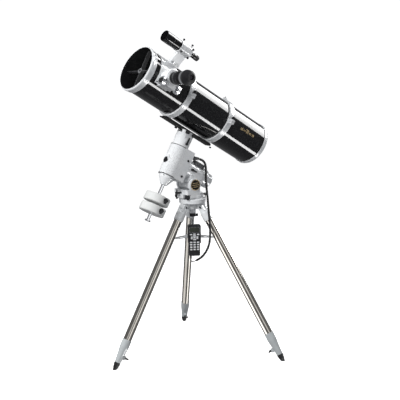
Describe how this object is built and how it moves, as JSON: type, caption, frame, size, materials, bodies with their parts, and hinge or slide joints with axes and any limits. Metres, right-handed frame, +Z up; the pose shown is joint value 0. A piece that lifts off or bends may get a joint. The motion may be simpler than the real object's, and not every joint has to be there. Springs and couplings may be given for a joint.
{
  "type": "reflector telescope on tripod",
  "caption": "Newtonian reflector telescope on an equatorial mount with counterweights, finder, wired handset and a three-legged field tripod.",
  "frame": {"origin": "on the floor under the azimuth axis", "axes": "+Z up; -X towards the pole and the open end of the tube; -Y towards the side of the focuser"},
  "size_m": [1.0136, 0.922, 1.7442],
  "materials": {
    "white_enamel": "smooth satin white enamel, light orange-peel",
    "cast_weight": "painted off-white cast iron",
    "black_tube": "gloss black enamel",
    "brushed_steel": "satin drawn steel",
    "chrome": "polished chrome plate",
    "black_plastic": "fine-grained moulded plastic",
    "grey_plastic": "dark grey moulded plastic",
    "key_plastic": "translucent light grey key caps",
    "rubber": "matt black rubber",
    "mirror": "aluminised front surface"
  },
  "bodies": {
    "tripod": {"tripod_head": "white_enamel", "tripod_fasteners": "brushed_steel", "handset_holder": "black_plastic", "handset_case": "black_plastic", "handset_plug": "black_plastic", "cord_coil": "rubber", "cord_tail": "rubber"},
    "mount_knob": {"mount_knob": "black_plastic"},
    "spreader": {"spreader_tray": "white_enamel"},
    "spreader_knob": {"spreader_knob": "black_plastic"},
    "menu_keys": {"handset_menu_keys": "key_plastic"},
    "number_keys": {"handset_number_keys": "key_plastic"},
    "azimuth": {"azimuth_base": "white_enamel"},
    "azimuth_bolt_east": {"azimuth_bolt_east": "black_plastic"},
    "azimuth_bolt_west": {"azimuth_bolt_west": "black_plastic"},
    "latitude_bolt_north": {"latitude_bolt_north": "chrome"},
    "latitude_bolt_south": {"latitude_bolt_south": "chrome"},
    "polar_axis": {"ra_housing": "white_enamel", "control_panel": "grey_plastic"},
    "ra_clutch": {"ra_clutch_lever": "black_plastic"},
    "right_ascension": {"dec_housing": "white_enamel"},
    "declination": {"saddle": "white_enamel", "dec_collar": "white_enamel", "counterweight_shaft": "chrome", "dovetail_bar": "black_plastic", "ring_bases": "white_enamel", "tube": "black_tube", "front_ring": "white_enamel", "rear_cell": "white_enamel", "primary_mirror": "mirror", "spider": "brushed_steel", "secondary_mirror": "mirror", "focuser_base": "white_enamel", "finder_scope": "black_tube", "finder_bracket": "white_enamel"},
    "dec_clutch": {"dec_clutch_lever": "black_plastic"},
    "saddle_screws": {"saddle_screws": "black_plastic"},
    "weight_upper": {"counterweight_upper": "cast_weight"},
    "weight_lower": {"counterweight_lower": "cast_weight"},
    "weight_screw_upper": {"counterweight_screw_upper": "black_plastic"},
    "weight_screw_lower": {"counterweight_screw_lower": "black_plastic"},
    "ring_top_front": {"ring_top_front": "white_enamel"},
    "ring_top_rear": {"ring_top_rear": "white_enamel"},
    "ring_knob_front": {"ring_knob_front": "black_plastic"},
    "ring_knob_rear": {"ring_knob_rear": "black_plastic"},
    "drawtube": {"focuser_drawtube": "black_plastic", "eyepiece": "black_plastic"},
    "focus_knobs": {"focus_knobs": "chrome"},
    "leg_north": {"leg_north_fittings": "white_enamel", "leg_north_tube": "brushed_steel"},
    "leg_north_lower": {"leg_north_foot": "rubber"},
    "leg_north_lock": {"leg_north_lever": "black_plastic"},
    "leg_west": {"leg_west_fittings": "white_enamel", "leg_west_tube": "brushed_steel"},
    "leg_west_lower": {"leg_west_foot": "rubber"},
    "leg_west_lock": {"leg_west_lever": "black_plastic"},
    "leg_east": {"leg_east_fittings": "white_enamel", "leg_east_tube": "brushed_steel"},
    "leg_east_lower": {"leg_east_foot": "rubber"},
    "leg_east_lock": {"leg_east_lever": "black_plastic"}
  },
  "joints": [
    {"name": "azimuth_turn", "type": "hinge", "parent": "tripod", "child": "azimuth", "pos_m": [0, 0, 0.872], "axis": [0, 0, 1], "range_deg": [-6, 6], "deforming": ["cord_coil"]},
    {"name": "azimuth_screw_east", "type": "slide", "parent": "azimuth", "child": "azimuth_bolt_east", "axis": [0, 1, 0], "range_m": [-0.007, 0.007]},
    {"name": "azimuth_screw_west", "type": "slide", "parent": "azimuth", "child": "azimuth_bolt_west", "axis": [0, 1, 0], "range_m": [-0.007, 0.007]},
    {"name": "latitude_tilt", "type": "hinge", "parent": "azimuth", "child": "polar_axis", "pos_m": [-0.024, 0, 0.937], "axis": [0, 1, 0], "range_deg": [-15, 12], "deforming": ["cord_coil"]},
    {"name": "latitude_screw_north", "type": "slide", "parent": "azimuth", "child": "latitude_bolt_north", "axis": [1, 0, 0], "range_m": [-0.0115, 0.012]},
    {"name": "latitude_screw_south", "type": "slide", "parent": "azimuth", "child": "latitude_bolt_south", "axis": [0.9744, 0, -0.225], "range_m": [-0.0115, 0.0125]},
    {"name": "right_ascension_turn", "type": "hinge", "parent": "polar_axis", "child": "right_ascension", "pos_m": [-0.12054, 0, 1.06779], "axis": [-0.866, 0, 0.5], "range_deg": [-95, 95]},
    {"name": "declination_turn", "type": "hinge", "parent": "right_ascension", "child": "declination", "pos_m": [-0.12054, 0, 1.06779], "axis": [0.5, 0, 0.866], "continuous": true},
    {"name": "ra_clutch_turn", "type": "hinge", "parent": "polar_axis", "child": "ra_clutch", "pos_m": [-0.03567, -0.056, 1.01879], "axis": [0, 1, 0], "range_deg": [-40, 40]},
    {"name": "dec_clutch_turn", "type": "hinge", "parent": "declination", "child": "dec_clutch", "pos_m": [-0.06854, -0.05, 1.15786], "axis": [0, 1, 0], "range_deg": [-30, 30]},
    {"name": "saddle_screw_travel", "type": "slide", "parent": "declination", "child": "saddle_screws", "axis": [0, -1, 0], "range_m": [0, 0.006]},
    {"name": "weight_upper_slide", "type": "slide", "parent": "declination", "child": "weight_upper", "axis": [0.5, 0, 0.866], "range_m": [-0.012, 0.055]},
    {"name": "weight_lower_slide", "type": "slide", "parent": "declination", "child": "weight_lower", "axis": [0.5, 0, 0.866], "range_m": [-0.035, 0.012]},
    {"name": "weight_screw_upper_turn", "type": "hinge", "parent": "weight_upper", "child": "weight_screw_upper", "pos_m": [-0.23154, -0.08, 0.87553], "axis": [0, 1, 0], "range_deg": [-180, 180]},
    {"name": "weight_screw_lower_turn", "type": "hinge", "parent": "weight_lower", "child": "weight_screw_lower", "pos_m": [-0.26054, -0.08, 0.8253], "axis": [0, 1, 0], "range_deg": [-180, 180]},
    {"name": "ring_front_open", "type": "hinge", "parent": "declination", "child": "ring_top_front", "pos_m": [-0.09078, 0.134, 1.41434], "axis": [-0.866, 0, 0.5], "range_deg": [0, 100]},
    {"name": "ring_knob_front_turn", "type": "hinge", "parent": "ring_top_front", "child": "ring_knob_front", "pos_m": [-0.08078, -0.142, 1.43166], "axis": [0.5, 0, 0.866], "range_deg": [-180, 180]},
    {"name": "ring_rear_open", "type": "hinge", "parent": "declination", "child": "ring_top_rear", "pos_m": [0.1647, 0.134, 1.26684], "axis": [-0.866, 0, 0.5], "range_deg": [0, 100]},
    {"name": "ring_knob_rear_turn", "type": "hinge", "parent": "ring_top_rear", "child": "ring_knob_rear", "pos_m": [0.1747, -0.142, 1.28416], "axis": [0.5, 0, 0.866], "range_deg": [-180, 180]},
    {"name": "focus_travel", "type": "slide", "parent": "declination", "child": "drawtube", "axis": [0.0262, -0.9986, 0.0453], "range_m": [-0.008, 0.045]},
    {"name": "focus_knob_turn", "type": "hinge", "parent": "declination", "child": "focus_knobs", "pos_m": [-0.25574, -0.16986, 1.47361], "axis": [-0.866, 0, 0.5], "range_deg": [-90, 440]},
    {"name": "mount_knob_turn", "type": "hinge", "parent": "tripod", "child": "mount_knob", "pos_m": [0, 0, 0.765], "axis": [0, 0, 1], "range_deg": [-180, 180]},
    {"name": "leg_north_fold", "type": "hinge", "parent": "tripod", "child": "leg_north", "pos_m": [-0.057, 0, 0.812], "axis": [0, -1, 0], "range_deg": [0, 8]},
    {"name": "leg_north_extend", "type": "slide", "parent": "leg_north", "child": "leg_north_lower", "axis": [-0.4961, 0, -0.8683], "range_m": [0, 0.22]},
    {"name": "leg_north_lock_turn", "type": "hinge", "parent": "leg_north", "child": "leg_north_lock", "pos_m": [-0.45806, 0, 0.04952], "axis": [0.8683, 0, -0.4961], "range_deg": [-90, 90]},
    {"name": "leg_west_fold", "type": "hinge", "parent": "tripod", "child": "leg_west", "pos_m": [0.0285, -0.04936, 0.812], "axis": [0.866, 0.5, 0], "range_deg": [0, 8]},
    {"name": "leg_west_extend", "type": "slide", "parent": "leg_west", "child": "leg_west_lower", "axis": [0.248, -0.4296, -0.8683], "range_m": [0, 0.22]},
    {"name": "leg_west_lock_turn", "type": "hinge", "parent": "leg_west", "child": "leg_west_lock", "pos_m": [0.22903, -0.3967, 0.04952], "axis": [-0.4341, 0.752, -0.4961], "range_deg": [-90, 90]},
    {"name": "leg_east_fold", "type": "hinge", "parent": "tripod", "child": "leg_east", "pos_m": [0.0285, 0.04936, 0.812], "axis": [-0.866, 0.5, 0], "range_deg": [0, 8]},
    {"name": "leg_east_extend", "type": "slide", "parent": "leg_east", "child": "leg_east_lower", "axis": [0.248, 0.4296, -0.8683], "range_m": [0, 0.22]},
    {"name": "leg_east_lock_turn", "type": "hinge", "parent": "leg_east", "child": "leg_east_lock", "pos_m": [0.22903, 0.3967, 0.04952], "axis": [-0.4341, -0.752, -0.4961], "range_deg": [-90, 90]},
    {"name": "spreader_slide", "type": "slide", "parent": "tripod", "child": "spreader", "axis": [0, 0, -1], "range_m": [0, 0.0665]},
    {"name": "spreader_knob_turn", "type": "hinge", "parent": "spreader", "child": "spreader_knob", "pos_m": [0, 0, 0.632], "axis": [0, 0, 1], "range_deg": [-180, 180]},
    {"name": "menu_keys_press", "type": "slide", "parent": "tripod", "child": "menu_keys", "axis": [0.5, 0.866, 0], "range_m": [0, 0.0012], "stiffness_N_per_m": 400, "springref_m": -0.0005},
    {"name": "number_keys_press", "type": "slide", "parent": "tripod", "child": "number_keys", "axis": [0.5, 0.866, 0], "range_m": [0, 0.0012], "stiffness_N_per_m": 400, "springref_m": -0.0005}
  ],
  "couplings": [
    {"joint": "azimuth_screw_east", "follows": "azimuth_turn", "m_per_rad": 0.066},
    {"joint": "azimuth_screw_west", "follows": "azimuth_turn", "m_per_rad": 0.066},
    {"joint": "latitude_screw_north", "follows": "latitude_tilt", "m_per_rad": -0.043},
    {"joint": "latitude_screw_south", "follows": "latitude_tilt", "m_per_rad": -0.0457},
    {"joint": "focus_knob_turn", "follows": "focus_travel", "rad_per_m": 166.7},
    {"joint": "leg_west_fold", "follows": "leg_north_fold", "ratio": 1},
    {"joint": "leg_east_fold", "follows": "leg_north_fold", "ratio": 1},
    {"joint": "spreader_slide", "follows": "leg_north_fold", "m_per_rad": 0.4727}
  ]
}
